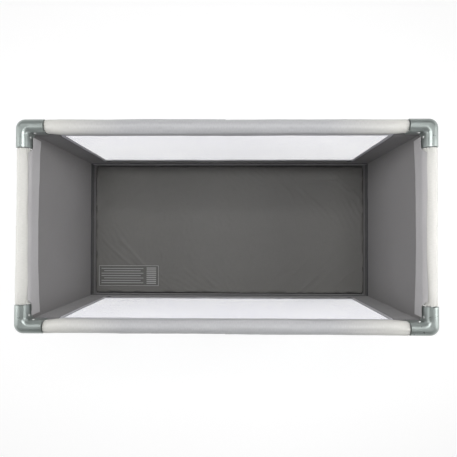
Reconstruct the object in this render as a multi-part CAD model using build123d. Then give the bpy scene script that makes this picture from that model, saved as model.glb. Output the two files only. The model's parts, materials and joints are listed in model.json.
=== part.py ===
from build123d import *

import math
import os

# A folding travel cot. Four corner posts carry a top frame of four rails and a base of four tubes.
# Every rail breaks at a latch in its middle, and the base tubes meet at a hub, so the cot folds
# to a slim upright bundle. Fabric walls with two mesh windows hang inside the posts, and a
# four-panel mattress lies on the base.
#
# The origin is on the floor under the cot's centre. X runs along the length, Y across the width
# and Z up. Front is -Y, left is -X. Whatever repeats at the corners is built at the front left
# one and mirrored.

# ---- driving dimensions ----
POST_X = 606.0  # post and end-rail axis from the centre
POST_Y = 298.0  # post and side-rail axis from the centre
RAIL_Z = 735.0  # height of the rail axes and of their pivots
BASE_Z = 34.0  # height of the base tubes and of their pivots
POST_TO_PIVOT = 31.0  # rail pivot from the post axis, inside the corner casting
LATCH_PIVOT = 57.0  # rail pivots from the middle of a latch
HUB_PIVOT = 50.0  # base tube pivots from the hub's centre, along X and along Y

# The rails and the base fold through one angle when this sum is the same at both of them.
FOLDED_HALF = POST_TO_PIVOT + LATCH_PIVOT
FOOT_PIVOT = FOLDED_HALF - HUB_PIVOT
LONG_HALF = POST_X - FOLDED_HALF  # pivot to pivot, half of a side rail
SHORT_HALF = POST_Y - FOLDED_HALF  # pivot to pivot, half of an end rail
BASE_SPAN = math.hypot(LONG_HALF, SHORT_HALF)  # pivot to pivot, one base tube
BASE_ANGLE = math.degrees(math.atan2(SHORT_HALF, LONG_HALF))  # of a base tube from the X axis

# ---- tubes and pins ----
POST_R, POST_WALL = 12.5, 1.5
RAIL_R, RAIL_WALL = 11.0, 1.5
BASE_R, BASE_WALL = 9.5, 1.2
TUBE_OVER = 8.0  # tube left beyond each pivot
PIN_R = 3.0
BASE_PIN_R = 2.5
PIN_PLAY = 0.05  # radial clearance of a tube on its pin
POST_BOTTOM, POST_TOP = 12.0, 740.0

# ---- corner castings ----
CAST_OUT, CAST_IN = 22.0, 18.0  # an arm's outer and inner faces from the rail's axis
CAST_REACH = 63.0  # arm end from the post axis
CAST_BOTTOM, CAST_TOP = 710.0, 760.0
CAST_CORNER_R = 28.0
CAST_INNER_R = 7.0
CAST_CROWN_R = 18.0
CHANNEL_HALF = 13.5
CHANNEL_TOP = RAIL_Z + 14.5
BOSS_R, BOSS_BOTTOM = 16.2, 690.0
SOCKET_PLAY = 0.1
RIVET_HEAD_R, RIVET_HEAD_T = 4.5, 2.0

# ---- feet ----
PAD_T = 6.0
FOOT_PLATE_T = 8.0
FOOT_R, FOOT_TOP = 18.0, 82.0
FOOT_PLATE_R = 25.0
FOOT_TOE_R = 19.0
CHEEK_IN, CHEEK_OUT = 10.0, 15.0
CHEEK_AHEAD, CHEEK_BEHIND = 13.0, 26.0
CHEEK_TOP = 48.0
CHEEK_FLOOR = 20.0  # top of the web between a foot's cheeks

# ---- latches ----
LATCH_HALF = 71.0
LATCH_OUT, LATCH_IN = 15.0, 12.0
LATCH_BOTTOM, LATCH_TOP = 716.0, 752.5
LATCH_FLOOR = RAIL_Z - 14.5  # the rail ends lie above this and swing up out of the channel
LATCH_CORE = 40.0
BUTTON_X, BUTTON_Y = 22.5, 9.0
BUTTON_BOTTOM, BUTTON_TOP = 706.0, 728.0
BUTTON_TRAVEL = 6.0
BUTTON_PLAY = 0.4

# ---- hub ----
HUB_X, HUB_Y = 68.0, 66.0
HUB_PLATE_BOTTOM, HUB_PLATE_TOP = 46.8, 50.8
HUB_CORNER_R = 20.0
HUB_POST_R = 20.0
HUB_CHEEK_BOTTOM = 22.0
HUB_BRACKET_T = 4.0
STRAP_W, STRAP_LAYER = 30.0, 1.5
STRAP_HALF = 60.0

# ---- soft goods ----
SLEEVE_R = 21.0
SLEEVE_GAP = 2.0  # from a sleeve's end to the casting or the latch
WALL_T = 2.0
WALL_X, WALL_Y = 590.0, 282.0  # inner faces of the walls
WALL_BOTTOM, WALL_TOP = 50.0, 705.0
WINDOW_X = 502.0
WINDOW_BOTTOM, WINDOW_TOP = 230.0, 690.0
MESH_T = 1.0
FLOOR_BOTTOM, FLOOR_T = 51.0, 1.5
FLOOR_SLIT_X, FLOOR_SLIT_Y = 5.0, 18.0
FLOOR_SEAM = 0.5  # half the gap at the seams between the floor's quarters
MATTRESS_X, MATTRESS_Y = 584.0, 274.5
MATTRESS_BOTTOM, MATTRESS_T = 56.0, 25.0
MATTRESS_CORNER_R = 15.0
MATTRESS_PANELS = 4

LOW = (Align.CENTER, Align.CENTER, Align.MIN)
CORNERS = {
    "front_left": (False, False),
    "front_right": (True, False),
    "back_left": (False, True),
    "back_right": (True, True),
}


# ---- helpers ----
def save(name, *solids):
    """Writes one node, as a group when it holds several separate solids."""
    shape = solids[0] if len(solids) == 1 else Compound(children=list(solids))
    export_step(shape, f"parts/{name}.step")


def mirrored(shape, flip_x, flip_y):
    """A shape built at the front left, taken to another corner or side."""
    if flip_x:
        shape = mirror(shape, about=Plane.YZ)
    if flip_y:
        shape = mirror(shape, about=Plane.XZ)
    return shape


def block(x0, x1, y0, y1, z0, z1):
    """A box between two corners."""
    middle = Pos((x0 + x1) / 2, (y0 + y1) / 2, (z0 + z1) / 2)
    return middle * Box(x1 - x0, y1 - y0, z1 - z0)


def rod(place, radius, start, end):
    """A round bar along the X axis of a place, from start to end."""
    return place * Pos(start, 0, 0) * Rot(0, 90, 0) * Cylinder(radius, end - start, align=LOW)


def pipe(place, radius, wall, start, end):
    """A round tube along the X axis of a place."""
    return rod(place, radius, start, end) - rod(place, radius - wall, start - 1, end + 1)


def upright(x, y, radius, z0, z1):
    """A vertical round bar."""
    return Pos(x, y, z0) * Cylinder(radius, z1 - z0, align=LOW)


# ---- places at the front left corner ----
POST = Pos(-POST_X, -POST_Y, 0)
SIDE_RAIL = Pos(-POST_X, -POST_Y, RAIL_Z)  # its X axis runs along the front rail
END_RAIL = Pos(-POST_X, -POST_Y, RAIL_Z) * Rot(0, 0, 90)  # its X axis runs along the left rail
BASE_TUBE = Pos(FOOT_PIVOT - POST_X, FOOT_PIVOT - POST_Y, BASE_Z) * Rot(0, 0, BASE_ANGLE)
ACROSS = Rot(0, 0, 90)  # turns a place so that its X axis crosses the tube
HUB_PIN = BASE_TUBE * Pos(BASE_SPAN, 0, 0) * ACROSS


# ---- hard parts at a corner ----
def casting_shell():
    """The outside of the L-shaped elbow, with a crowned top."""
    side_arm = block(-CAST_OUT, CAST_REACH, -CAST_OUT, CAST_IN, CAST_BOTTOM, CAST_TOP)
    end_arm = block(-CAST_OUT, CAST_IN, -CAST_OUT, CAST_REACH, CAST_BOTTOM, CAST_TOP)
    shell = side_arm + end_arm
    outer = shell.edges().filter_by(Axis.Z)
    outer = outer.filter_by(lambda e: e.center().X + e.center().Y < -CAST_OUT)
    shell = fillet(outer, CAST_CORNER_R)
    inner = shell.edges().filter_by(Axis.Z)
    inner = inner.filter_by(lambda e: 0 < e.center().X < CAST_IN + 1 and 0 < e.center().Y < CAST_IN + 1)
    shell = fillet(inner, CAST_INNER_R)
    crown = shell.edges().filter_by(lambda e: e.center().Z > CAST_TOP - 1)
    crown = crown.filter_by(lambda e: max(e.center().X, e.center().Y) < CAST_REACH - 1)
    return fillet(crown, CAST_CROWN_R)


def corner_casting():
    """The elbow: two open-bottomed channels for the rail ends over a socket for the post."""
    channel = block(0, CAST_REACH + 1, -CHANNEL_HALF, CHANNEL_HALF, CAST_BOTTOM - 1, CHANNEL_TOP)
    body = casting_shell() - channel - Rot(0, 0, 90) * channel
    body = body + upright(0, 0, BOSS_R, BOSS_BOTTOM, CHANNEL_TOP + 1)
    body = body - upright(0, 0, POST_R + SOCKET_PLAY, BOSS_BOTTOM - 1, POST_TOP + 1)
    body = POST * body
    for rail in (SIDE_RAIL, END_RAIL):
        pivot = rail * Pos(POST_TO_PIVOT, 0, 0) * ACROSS
        body = body - rod(pivot, PIN_R, -CAST_OUT - 1, CAST_OUT + 1)
    return body


def post_tube():
    """The upright steel tube."""
    return POST * (upright(0, 0, POST_R, POST_BOTTOM, POST_TOP)
                   - upright(0, 0, POST_R - POST_WALL, POST_BOTTOM - 1, POST_TOP + 1))


def foot_plan(round_r, toe_r, z0, z1):
    """A foot's outline: round under the post, with a toe under the base tube's pivot."""
    reach = math.hypot(FOOT_PIVOT, FOOT_PIVOT)
    toe = Rot(0, 0, 45) * block(0, reach, -toe_r, toe_r, z0, z1)
    toe = toe + upright(FOOT_PIVOT, FOOT_PIVOT, toe_r, z0, z1)
    return POST * (toe + upright(0, 0, round_r, z0, z1))


def foot_bracket():
    """The moulded foot: a socket for the post and two cheeks for the base tube."""
    plate = foot_plan(FOOT_PLATE_R, FOOT_TOE_R, PAD_T, PAD_T + FOOT_PLATE_T)
    socket = POST * upright(0, 0, FOOT_R, PAD_T, FOOT_TOP)
    cheeks = BASE_TUBE * block(-CHEEK_BEHIND, CHEEK_AHEAD, -CHEEK_OUT, CHEEK_OUT,
                               PAD_T - BASE_Z, CHEEK_TOP - BASE_Z)
    slot = BASE_TUBE * block(-CHEEK_BEHIND - 1, CHEEK_AHEAD + 20, -CHEEK_IN, CHEEK_IN,
                             CHEEK_FLOOR - BASE_Z, CHEEK_TOP + 1 - BASE_Z)
    body = plate + cheeks - slot
    body = body + (socket - slot)
    body = body - POST * upright(0, 0, POST_R + SOCKET_PLAY, POST_BOTTOM, FOOT_TOP + 1)
    return body - rod(BASE_TUBE * ACROSS, BASE_PIN_R, -CHEEK_OUT - 1, CHEEK_OUT + 1)


def foot_pad():
    """The rubber sole under a foot."""
    return foot_plan(FOOT_PLATE_R - 2, FOOT_TOE_R - 2, 0, PAD_T)


def rivet(place, radius, back, front, head_r, head_t):
    """A pivot pin along the X axis of a place, flush at the back, with a domed head in front."""
    head = rod(place, head_r, front, front + head_t)
    rim = head.edges().filter_by(GeomType.CIRCLE)
    far = (place * Pos(front + head_t, 0, 0)).position
    rim = rim.sort_by(lambda e: (e.center() - far).length)[0]
    return fillet(rim, head_t * 0.8) + rod(place, radius, back, front)


def corner_rivets():
    """The three pivot pins at a corner: side rail, end rail and base tube."""
    side = SIDE_RAIL * Pos(POST_TO_PIVOT, 0, 0) * ACROSS
    end = END_RAIL * Pos(POST_TO_PIVOT, 0, 0) * ACROSS * Rot(0, 0, 180)
    return [
        rivet(side, PIN_R, -CAST_OUT, CAST_IN, RIVET_HEAD_R, RIVET_HEAD_T),
        rivet(end, PIN_R, -CAST_OUT, CAST_IN, RIVET_HEAD_R, RIVET_HEAD_T),
        rivet(BASE_TUBE * ACROSS, BASE_PIN_R, -CHEEK_OUT, CHEEK_OUT, RIVET_HEAD_R - 1, RIVET_HEAD_T),
    ]


# ---- tubes that fold ----
def pinned_tube(place, radius, wall, pin_r, near, span):
    """A tube with a cross hole at each of its two pivots."""
    tube = pipe(place, radius, wall, near - TUBE_OVER, near + span + TUBE_OVER)
    for at in (near, near + span):
        hole = place * Pos(at, 0, 0) * ACROSS
        tube = tube - rod(hole, pin_r + PIN_PLAY, -radius - 1, radius + 1)
    return tube


def rail_sleeve(rail, post_distance):
    """The padded cover of half a rail, from its casting to its latch."""
    start = CAST_REACH + SLEEVE_GAP
    end = post_distance - LATCH_HALF - SLEEVE_GAP
    bore = RAIL_R + SOCKET_PLAY
    return pipe(rail, SLEEVE_R, SLEEVE_R - bore, start, end)


# ---- latches ----
def latch_housing(rail, post_distance):
    """The middle of a rail: an open-topped channel at each end, and a pocket for the button."""
    middle = rail * Pos(post_distance, 0, -RAIL_Z)
    body = block(-LATCH_HALF, LATCH_HALF, -LATCH_OUT, LATCH_OUT, LATCH_BOTTOM, LATCH_TOP)
    crown = body.edges().filter_by(Axis.X).filter_by(lambda e: e.center().Z > LATCH_TOP - 1)
    body = fillet(crown, 6)
    for side in (-1, 1):
        ends = sorted((side * LATCH_CORE, side * (LATCH_HALF + 1)))
        body = body - block(*ends, -LATCH_IN, LATCH_IN, LATCH_FLOOR, LATCH_TOP + 1)
    pocket_x, pocket_y = BUTTON_X + BUTTON_PLAY, BUTTON_Y + BUTTON_PLAY
    pocket_top = BUTTON_TOP + BUTTON_TRAVEL + 3
    body = body - block(-pocket_x, pocket_x, -pocket_y, pocket_y, LATCH_BOTTOM - 1, pocket_top)
    pins = []
    for side in (-1, 1):
        pin = Pos(side * LATCH_PIVOT, 0, RAIL_Z) * ACROSS
        body = body - rod(pin, PIN_R, -LATCH_OUT - 1, LATCH_OUT + 1)
        pins.append(middle * rod(pin, PIN_R, -LATCH_OUT, LATCH_OUT))
    return [middle * body, *pins]


def release_button(rail, post_distance):
    """The push button under a latch."""
    button = block(-BUTTON_X, BUTTON_X, -BUTTON_Y, BUTTON_Y, BUTTON_BOTTOM, BUTTON_TOP)
    button = fillet(button.edges().filter_by(Axis.Z), 5)
    button = fillet(button.edges().filter_by(lambda e: e.center().Z < BUTTON_BOTTOM + 1), 3)
    return rail * Pos(post_distance, 0, -RAIL_Z) * button


# ---- base hub ----
def hub_bracket():
    """The U-shaped bracket under the hub for the front left base tube, closed at its inner end."""
    place = BASE_TUBE * Pos(BASE_SPAN, 0, -BASE_Z)
    bracket = place * block(-CHEEK_AHEAD, CHEEK_BEHIND, -CHEEK_OUT, CHEEK_OUT,
                            HUB_CHEEK_BOTTOM, HUB_PLATE_BOTTOM)
    slot = place * block(-CHEEK_AHEAD - 1, CHEEK_BEHIND - HUB_BRACKET_T, -CHEEK_IN, CHEEK_IN,
                         HUB_CHEEK_BOTTOM - 1, HUB_PLATE_BOTTOM + 1)
    return bracket - slot - rod(HUB_PIN, BASE_PIN_R, -CHEEK_OUT - 1, CHEEK_OUT + 1)


def base_hub():
    """The hub plate, the brackets and pivot pins under it, and its centre foot with a sole."""
    plate = block(-HUB_X, HUB_X, -HUB_Y, HUB_Y, HUB_PLATE_BOTTOM, HUB_PLATE_TOP)
    solids = [
        fillet(plate.edges().filter_by(Axis.Z), HUB_CORNER_R),
        upright(0, 0, HUB_POST_R, PAD_T, HUB_PLATE_BOTTOM),
        upright(0, 0, HUB_POST_R - 1, 0, PAD_T),
    ]
    pin = rod(HUB_PIN, BASE_PIN_R, -CHEEK_OUT, CHEEK_OUT)
    for flips in CORNERS.values():
        solids.append(mirrored(hub_bracket(), *flips))
        solids.append(mirrored(pin, *flips))
    return solids


def pull_strap():
    """The webbing loop that lifts the hub, pressed flat over the floor, with its tail in the slit."""
    base = FLOOR_BOTTOM + FLOOR_T + 0.1
    loop = block(-STRAP_W / 2, STRAP_W / 2, -STRAP_HALF, STRAP_HALF, base, base + 2 * STRAP_LAYER)
    tail = block(-STRAP_LAYER, STRAP_LAYER, -STRAP_W / 2, STRAP_W / 2, HUB_PLATE_TOP, base + 1)
    return loop + tail


# ---- soft goods ----
def end_wall():
    """The solid fabric panel at the left end."""
    return block(-WALL_X - WALL_T, -WALL_X, -WALL_Y, WALL_Y, WALL_BOTTOM, WALL_TOP)


def side_wall():
    """The fabric border of the front wall, around its window."""
    wall = block(-WALL_X, WALL_X, -WALL_Y - WALL_T, -WALL_Y, WALL_BOTTOM, WALL_TOP)
    return wall - block(-WINDOW_X, WINDOW_X, -WALL_Y - WALL_T - 1, -WALL_Y + 1,
                        WINDOW_BOTTOM, WINDOW_TOP)


def mesh_window():
    """The netting in the front wall."""
    middle = -WALL_Y - WALL_T / 2
    return block(-WINDOW_X, WINDOW_X, middle - MESH_T / 2, middle + MESH_T / 2,
                 WINDOW_BOTTOM, WINDOW_TOP)


def floor_quarter():
    """The front left quarter of the base fabric, with its share of the slit for the strap."""
    quarter = block(-WALL_X, -FLOOR_SEAM, -WALL_Y, -FLOOR_SEAM, FLOOR_BOTTOM, FLOOR_BOTTOM + FLOOR_T)
    slit = block(-FLOOR_SLIT_X, FLOOR_SLIT_X, -FLOOR_SLIT_Y, FLOOR_SLIT_Y,
                 FLOOR_BOTTOM - 1, FLOOR_BOTTOM + FLOOR_T + 1)
    return quarter - slit


def mattress_panel(number):
    """One of the mattress's panels, counted from the left."""
    width = 2 * MATTRESS_X / MATTRESS_PANELS
    left = -MATTRESS_X + (number - 1) * width
    panel = block(left, left + width, -MATTRESS_Y, MATTRESS_Y,
                  MATTRESS_BOTTOM, MATTRESS_BOTTOM + MATTRESS_T)
    outer = panel.edges().filter_by(Axis.Z).filter_by(lambda e: abs(e.center().X) > MATTRESS_X - 1)
    return fillet(outer, MATTRESS_CORNER_R) if outer else panel


# ---- write every node ----
os.makedirs("parts", exist_ok=True)
for corner, flips in CORNERS.items():
    save(f"corner_casting_{corner}", mirrored(corner_casting(), *flips))
    save(f"post_tube_{corner}", mirrored(post_tube(), *flips))
    save(f"foot_{corner}", mirrored(foot_bracket(), *flips), mirrored(foot_pad(), *flips))
    save(f"corner_rivets_{corner}", *(mirrored(r, *flips) for r in corner_rivets()))
    base_tube = pinned_tube(BASE_TUBE, BASE_R, BASE_WALL, BASE_PIN_R, 0, BASE_SPAN)
    save(f"base_tube_{corner}", mirrored(base_tube, *flips))
    save(f"floor_quarter_{corner}", mirrored(floor_quarter(), *flips))
    # each corner starts one half of a side rail and one half of an end rail
    front_back, left_right = corner.split("_")
    side_half = pinned_tube(SIDE_RAIL, RAIL_R, RAIL_WALL, PIN_R, POST_TO_PIVOT, LONG_HALF)
    end_half = pinned_tube(END_RAIL, RAIL_R, RAIL_WALL, PIN_R, POST_TO_PIVOT, SHORT_HALF)
    save(f"{front_back}_rail_{left_right}", mirrored(side_half, *flips))
    save(f"{left_right}_rail_{front_back}", mirrored(end_half, *flips))
    side_sleeve = mirrored(rail_sleeve(SIDE_RAIL, POST_X), *flips)
    save(f"{front_back}_sleeve_{left_right}", side_sleeve)
    end_sleeve = mirrored(rail_sleeve(END_RAIL, POST_Y), *flips)
    save(f"{left_right}_sleeve_{front_back}", end_sleeve)

SIDES = {"front": False, "back": True}
ENDS = {"left": False, "right": True}
for side, flip in SIDES.items():
    save(f"latch_housing_{side}", *(mirrored(s, False, flip) for s in latch_housing(SIDE_RAIL, POST_X)))
    save(f"release_button_{side}", mirrored(release_button(SIDE_RAIL, POST_X), False, flip))
    save(f"side_wall_{side}", mirrored(side_wall(), False, flip))
    save(f"mesh_window_{side}", mirrored(mesh_window(), False, flip))
for end, flip in ENDS.items():
    save(f"latch_housing_{end}", *(mirrored(s, flip, False) for s in latch_housing(END_RAIL, POST_Y)))
    save(f"release_button_{end}", mirrored(release_button(END_RAIL, POST_Y), flip, False))
    save(f"end_wall_{end}", mirrored(end_wall(), flip, False))

save("base_hub", *base_hub())
save("pull_strap", pull_strap())
for number in range(1, MATTRESS_PANELS + 1):
    save(f"mattress_panel_{number}", mattress_panel(number))
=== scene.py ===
import json
import math

import bmesh
import bpy
from mathutils import Matrix, Vector, noise


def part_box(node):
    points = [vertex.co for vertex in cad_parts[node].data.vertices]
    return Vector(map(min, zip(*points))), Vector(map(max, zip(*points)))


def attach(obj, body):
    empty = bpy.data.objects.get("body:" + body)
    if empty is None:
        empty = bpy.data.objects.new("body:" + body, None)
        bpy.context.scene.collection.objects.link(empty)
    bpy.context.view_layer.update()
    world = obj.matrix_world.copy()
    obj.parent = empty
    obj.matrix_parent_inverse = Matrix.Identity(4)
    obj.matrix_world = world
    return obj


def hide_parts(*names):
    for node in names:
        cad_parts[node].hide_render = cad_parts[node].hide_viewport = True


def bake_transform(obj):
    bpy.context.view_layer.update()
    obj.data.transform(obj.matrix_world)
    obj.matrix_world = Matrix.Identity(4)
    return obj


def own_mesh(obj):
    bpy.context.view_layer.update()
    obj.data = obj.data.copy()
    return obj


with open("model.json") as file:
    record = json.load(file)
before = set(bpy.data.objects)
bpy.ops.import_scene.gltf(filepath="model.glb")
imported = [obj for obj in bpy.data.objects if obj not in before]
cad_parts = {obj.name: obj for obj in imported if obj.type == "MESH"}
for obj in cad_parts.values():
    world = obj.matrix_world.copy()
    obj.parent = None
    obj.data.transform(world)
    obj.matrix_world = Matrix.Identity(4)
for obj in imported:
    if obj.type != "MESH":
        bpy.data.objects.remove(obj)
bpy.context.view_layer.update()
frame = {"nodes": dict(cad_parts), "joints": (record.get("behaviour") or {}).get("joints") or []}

# The looks of a folding travel cot: padded rail sleeves, fabric walls with netting windows, pockets
# round the posts, the mattress and the fabric floor, and the materials of the hard parts.
# Everything is in metres. Front is -Y, left is -X. Every soft piece but the mattress's cover is a
# surface over two lengths of cloth, u and v, which are also its UVs, so that a weave keeps its size.

SIDES = ("front", "back")
ENDS = ("left", "right")
CORNERS = {  # each corner's name, and the signs of its x and y
    "fl": ("front_left", -1, -1), "fr": ("front_right", 1, -1),
    "bl": ("back_left", -1, 1), "br": ("back_right", 1, 1),
}


def centre(node):
    low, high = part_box(node)
    return (Vector(low) + Vector(high)) / 2


def low_of(node):
    return Vector(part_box(node)[0])


def high_of(node):
    return Vector(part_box(node)[1])


# ---- places from the frame ----
POST = centre("post_tube_back_right")
POST_X, POST_Y = POST.x, POST.y
POST_R = high_of("post_tube_back_right").x - POST_X
RAIL_Z = centre("back_rail_left").z
SLEEVE_X = high_of("back_sleeve_right").x  # where the side sleeves end, at the castings
SLEEVE_Y = high_of("right_sleeve_back").y  # where the end sleeves end
CASTING_UNDER = low_of("corner_casting_back_right").z  # the lowest point of a casting's boss
WALL_LOW = low_of("end_wall_left").z
WALL_X = high_of("end_wall_right").x
WALL_Y = high_of("side_wall_back").y
WINDOW_X = high_of("mesh_window_back").x
WINDOW_RISE = 0.007  # the net goes on up behind the sleeve
WINDOW_LOW, WINDOW_HIGH = low_of("mesh_window_back").z, high_of("mesh_window_back").z + WINDOW_RISE
MAT_LOW, MAT_HIGH = low_of("mattress_panel_1").z, high_of("mattress_panel_1").z
COVER_OUT_X, COVER_OUT_Y = 0.0036, 0.0016  # how far the mattress's cover stands out from its panels
MAT_X = high_of("mattress_panel_4").x + COVER_OUT_X
MAT_Y = high_of("mattress_panel_4").y + COVER_OUT_Y
JOINTS = {j["name"]: j for j in frame["joints"]}
LATCH_PIVOT = JOINTS["front_rail_right_pivot"]["pos_m"][0]

# ---- sizes of the soft goods ----
SLEEVE_R = 0.0215
FABRIC = 0.0012
MESH = 0.0008
WALL_IN = 0.017  # the walls hang this far inside the posts' axes, behind the sleeves' inner sides
WALL_STEP = 0.2  # below this height the walls spread out to the floor's edge
POCKET_R = POST_R + 0.0016
FLAP_LOW, FLAP_ARCH = 0.664, 0.018  # the flap's free edge at the posts, and its rise to the middle
FLAP_OFF = 0.0022  # the free edge's gap from the wall
FLAP_REACH = SLEEVE_R + 0.0021
FLAP_LEAVES = math.radians(-20)  # where the flap leaves the sleeve, from the rail's middle
FLAP_WRAP = {-1: math.radians(38), 1: math.radians(48)}  # where it starts, at the left and right ends
FLAP_STRAY = {-1: math.radians(5), 1: math.radians(11)}  # how far its upper edge wanders from there
SEAM_Z, SKIRT_LOW = 0.146, 0.104  # the piped seam above the mattress, and the band below it
SEAM_ROW = 0.003  # the stitches outside, from the seam
PIPING_R, BAND_T = 0.0016, 0.0008
MAT_CORNER = 0.011
MAT_PUSH = 0.0014  # how far the mattress's back edge is pushed towards the back wall
COVER_EDGE = 0.0032
COVER_THIN, COVER_CLEAR = 0.0012, 0.0004  # its top and bottom are inside the panels' box
VOXEL = 0.007  # the cover's mesh
FOAM_UNDER, FOAM_OVER = 0.004, 0.0032  # how far the foam is inside the cover's lower and upper corner
FOAM_CORNER, FOAM_EDGE = 0.014, 0.004
HELD_SHARE, SIM_FRAMES = 0.55, 25  # how much of the cover's height stays put, and how long it settles
COVER_TRAVEL = 0.003  # how far the cover may move off its first shape
CORD_R, CORD_OUT = 0.0013, 0.0002  # the seam round the cover, and how far its middle stands out
PATCH_LOW, PATCH_HIGH = (-0.571, -0.247), (-0.310, -0.160)  # two corners of the patch, at the front left
STITCH_PITCH, STITCH_LENGTH, THREAD_R = 0.0045, 0.0030, 0.00035


# ---- meshes ----
def add_object(name, data):
    obj = bpy.data.objects.new(name, data)
    bpy.context.scene.collection.objects.link(obj)
    return obj


def add_bmesh(name, bm):
    """Ends a bmesh and makes an object of it."""
    mesh = bpy.data.meshes.new(name)
    bm.to_mesh(mesh)
    bm.free()
    return add_object(name, mesh)


def surface(name, us, vs, point, wrap=False, keep=None):
    """A smooth quad surface through point(u, v), with u and v in metres as its UVs."""
    mesh = bpy.data.meshes.new(name)
    count = len(us)
    verts = [point(u, v) for v in vs for u in us]
    faces, uvs = [], []
    girth = us[-1] + us[1] - us[0]
    for j in range(len(vs) - 1):
        for i in range(count if wrap else count - 1):
            k = (i + 1) % count
            u1 = us[k] if k else girth
            if keep and not keep((us[i] + u1) / 2, (vs[j] + vs[j + 1]) / 2):
                continue
            faces.append((j * count + i, j * count + k, (j + 1) * count + k, (j + 1) * count + i))
            uvs += [(us[i], vs[j]), (u1, vs[j]), (u1, vs[j + 1]), (us[i], vs[j + 1])]
    mesh.from_pydata(verts, [], faces)
    layer = mesh.uv_layers.new(name="cloth")
    layer.data.foreach_set("uv", [c for uv in uvs for c in uv])
    obj = add_object(name, mesh)
    bm = bmesh.new()
    bm.from_mesh(mesh)
    loose = [v for v in bm.verts if not v.link_faces]
    bmesh.ops.delete(bm, geom=loose, context="VERTS")
    bm.to_mesh(mesh)
    bm.free()
    return smooth(obj)


def smooth(obj):
    """Smooth shading, with hard edges where a surface turns sharply."""
    obj.data.polygons.foreach_set("use_smooth", [True] * len(obj.data.polygons))
    obj.data.set_sharp_from_angle(angle=math.radians(50))
    obj.data.update()
    return obj


def bake_modifiers(obj):
    """Applies an object's modifiers to its mesh."""
    bpy.context.view_layer.update()
    evaluated = obj.evaluated_get(bpy.context.evaluated_depsgraph_get())
    mesh = bpy.data.meshes.new_from_object(evaluated)
    obj.modifiers.clear()
    obj.data = mesh
    return obj


def thicken(obj, thickness, material, offset=0.0):
    """Turns a surface into closed cloth. Offset -1 puts the thickness behind it, 1 before it."""
    solid = obj.modifiers.new("cloth", "SOLIDIFY")
    solid.thickness = thickness
    solid.offset = offset
    solid.use_even_offset = False
    return dress(smooth(bake_modifiers(obj)), material)


def steps(start, end, size):
    """Evenly spaced values from start to end, about size apart."""
    count = max(1, round(abs(end - start) / size))
    return [start + (end - start) * i / count for i in range(count + 1)]


def stops(size, *marks):
    """Values through every mark, about size apart between them."""
    values = [marks[0]]
    for a, b in zip(marks, marks[1:]):
        values += steps(a, b, size)[1:]
    return values


def ramp(x, low, high):
    """0 below low, 1 above high, smooth between them."""
    t = min(1.0, max(0.0, (x - low) / (high - low)))
    return t * t * (3 - 2 * t)


def wobble(x, y, z=0.0):
    """Smooth noise from -1 to 1, the same on every run."""
    return noise.noise(Vector((x, y, z)))


def tube(name, points, radius, closed=False):
    """A round cord through a list of points."""
    curve = bpy.data.curves.new(name, "CURVE")
    curve.dimensions = "3D"
    curve.bevel_depth = radius
    curve.bevel_resolution = 2
    curve.use_fill_caps = not closed
    line = curve.splines.new("POLY")
    line.points.add(len(points) - 1)
    for place, p in zip(line.points, points):
        place.co = (*p, 1)
    line.use_cyclic_u = closed
    obj = add_object(name, curve)
    mesh = bpy.data.meshes.new_from_object(obj.evaluated_get(bpy.context.evaluated_depsgraph_get()))
    bpy.data.objects.remove(obj)
    return smooth(add_object(name, mesh))


def stitches(name, path, out):
    """A row of short thread bars along a list of points, on a surface that faces out."""
    bm = bmesh.new()
    travelled = 0.0
    for a, b in zip(path, path[1:]):
        run = (b - a).length
        if run < 1e-6:
            continue
        along = (b - a) / run
        across = along.cross(out).normalized()
        turn = Matrix((along, across, out)).transposed().to_4x4()
        while travelled < run:
            middle = a + along * travelled + out * THREAD_R * 0.6
            place = Matrix.Translation(middle) @ turn
            place = place @ Matrix.Diagonal((STITCH_LENGTH / 2, THREAD_R, THREAD_R, 1))
            bmesh.ops.create_icosphere(bm, subdivisions=1, radius=1, matrix=place)
            travelled += STITCH_PITCH
        travelled -= run
    return dress(smooth(add_bmesh(name, bm)), "thread")


# ---- materials ----
class Nodes:
    """Short calls that build a node tree."""

    def __init__(self, tree):
        self.tree = tree
        self.coords = tree.nodes.new("ShaderNodeTexCoord")
        self.place, self.plane = self.coords.outputs["Object"], self.coords.outputs["UV"]

    def node(self, kind, **inputs):
        made = self.tree.nodes.new("ShaderNode" + kind)
        for key, value in inputs.items():
            self.feed(made.inputs[key.replace("_", " ")], value)
        return made

    def feed(self, socket, value):
        if isinstance(value, bpy.types.NodeSocket):
            self.tree.links.new(value, socket)
        else:
            socket.default_value = value

    def math(self, operation, a, b=0.0):
        made = self.node("Math")
        made.operation = operation
        self.feed(made.inputs[0], a)
        self.feed(made.inputs[1], b)
        return made.outputs[0]

    def spread(self, value, low, high, to_low, to_high):
        made = self.node("MapRange", Value=value, From_Min=low, From_Max=high, To_Min=to_low, To_Max=to_high)
        return made.outputs["Result"]


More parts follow.
